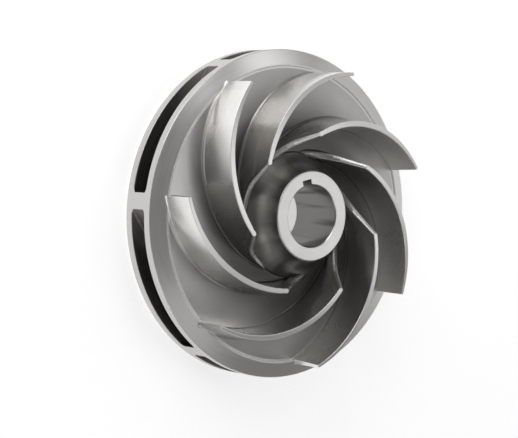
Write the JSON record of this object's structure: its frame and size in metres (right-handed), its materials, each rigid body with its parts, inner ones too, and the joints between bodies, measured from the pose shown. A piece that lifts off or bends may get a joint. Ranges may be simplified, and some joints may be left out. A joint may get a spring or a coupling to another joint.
{
  "type": "pump impeller",
  "caption": "Semi-open centrifugal pump impeller with swept front vanes, a tapered hub with a keyed bore, and a webbed back ring that leaves an outlet slot round the rim.",
  "frame": {"origin": "centre of the back ring's flat back face, on the bore's axis", "axes": "+Z along the bore from the back ring towards the hub face, +Y from the axis through the keyway, +X to the right of the keyway seen from the front"},
  "size_m": [0.205, 0.205, 0.0572],
  "materials": {
    "casting": "satin, turned and ground"
  },
  "bodies": {
    "root": {"impeller": "casting"}
  },
  "joints": []
}
